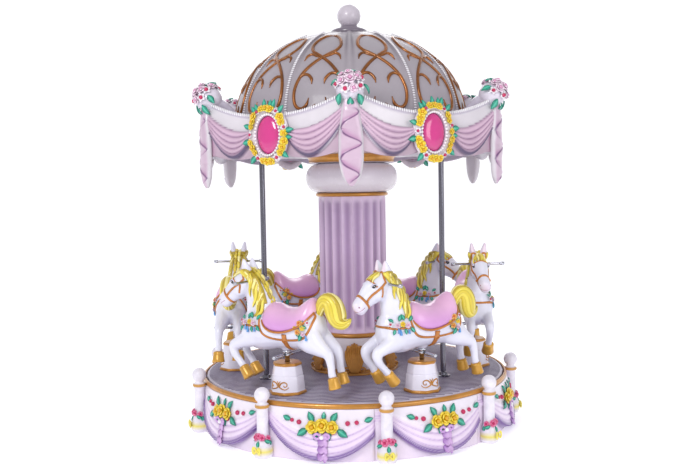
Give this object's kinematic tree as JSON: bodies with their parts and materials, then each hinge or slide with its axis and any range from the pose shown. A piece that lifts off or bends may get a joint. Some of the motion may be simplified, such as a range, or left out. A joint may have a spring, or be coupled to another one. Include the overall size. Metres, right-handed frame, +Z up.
{
  "type": "small fairground carousel",
  "caption": "Children's carousel with a domed canopy on a fluted column and galloping horses that rise and fall over pedestals on a round deck.",
  "frame": {"origin": "on the ground, on the turntable's axis", "axes": "+Z up along the turntable's axis, -Y towards the pictured front"},
  "size_m": [2.1542, 2.1754, 2.741],
  "materials": {
    "white_gelcoat": "glossy white gelcoat on glass-fibre mouldings",
    "lilac_gelcoat": "glossy lilac gelcoat",
    "deck_moulding": "textured grey-lilac non-slip",
    "gold_paint": "metallic gold paint",
    "chrome_tube": "polished",
    "painted_steel": "dark grey satin"
  },
  "bodies": {
    "base": {"base_frame": "painted_steel", "deck_rim": "gold_paint", "skirt_bay_1": "white_gelcoat", "skirt_bay_2": "white_gelcoat", "skirt_bay_3": "white_gelcoat", "skirt_bay_4": "white_gelcoat", "skirt_bay_5": "white_gelcoat", "skirt_bay_6": "white_gelcoat", "skirt_bay_7": "white_gelcoat", "skirt_bay_8": "white_gelcoat", "skirt_bay_9": "white_gelcoat"},
    "turntable": {"deck": "deck_moulding", "column_foot": "gold_paint", "column_base": "white_gelcoat", "column_shaft": "lilac_gelcoat", "capital": "white_gelcoat", "ceiling": "white_gelcoat", "valance_bay_1": "white_gelcoat", "valance_bay_2": "white_gelcoat", "valance_bay_3": "white_gelcoat", "valance_bay_4": "white_gelcoat", "valance_bay_5": "white_gelcoat", "valance_bay_6": "white_gelcoat", "dome": "white_gelcoat", "knob": "white_gelcoat", "canopy_pole_1": "chrome_tube", "canopy_pole_2": "chrome_tube", "canopy_pole_3": "chrome_tube", "pedestal_1": "white_gelcoat", "pedestal_2": "white_gelcoat", "pedestal_3": "white_gelcoat", "pedestal_4": "white_gelcoat", "pedestal_5": "white_gelcoat", "pedestal_6": "white_gelcoat"},
    "horse_1_rising": {"horse_1": "white_gelcoat", "horse_rod_1": "chrome_tube", "handlebar_1": "chrome_tube"},
    "horse_2_rising": {"horse_2": "white_gelcoat", "horse_rod_2": "chrome_tube", "handlebar_2": "chrome_tube"},
    "horse_3_rising": {"horse_3": "white_gelcoat", "horse_rod_3": "chrome_tube", "handlebar_3": "chrome_tube"},
    "horse_4_rising": {"horse_4": "white_gelcoat", "horse_rod_4": "chrome_tube", "handlebar_4": "chrome_tube"},
    "horse_5_rising": {"horse_5": "white_gelcoat", "horse_rod_5": "chrome_tube", "handlebar_5": "chrome_tube"},
    "horse_6_rising": {"horse_6": "white_gelcoat", "horse_rod_6": "chrome_tube", "handlebar_6": "chrome_tube"}
  },
  "joints": [
    {"name": "turntable_spin", "type": "hinge", "parent": "base", "child": "turntable", "pos_m": [0, 0, 0], "axis": [0, 0, -1], "continuous": true},
    {"name": "horse_1_rise", "type": "slide", "parent": "turntable", "child": "horse_1_rising", "axis": [0, 0, 1], "range_m": [-0.025, 0.09]},
    {"name": "horse_2_rise", "type": "slide", "parent": "turntable", "child": "horse_2_rising", "axis": [0, 0, 1], "range_m": [-0.025, 0.09]},
    {"name": "horse_3_rise", "type": "slide", "parent": "turntable", "child": "horse_3_rising", "axis": [0, 0, 1], "range_m": [-0.077, 0.038]},
    {"name": "horse_4_rise", "type": "slide", "parent": "turntable", "child": "horse_4_rising", "axis": [0, 0, 1], "range_m": [-0.025, 0.09]},
    {"name": "horse_5_rise", "type": "slide", "parent": "turntable", "child": "horse_5_rising", "axis": [0, 0, 1], "range_m": [-0.045, 0.07]},
    {"name": "horse_6_rise", "type": "slide", "parent": "turntable", "child": "horse_6_rising", "axis": [0, 0, 1], "range_m": [-0.075, 0.04]}
  ]
}
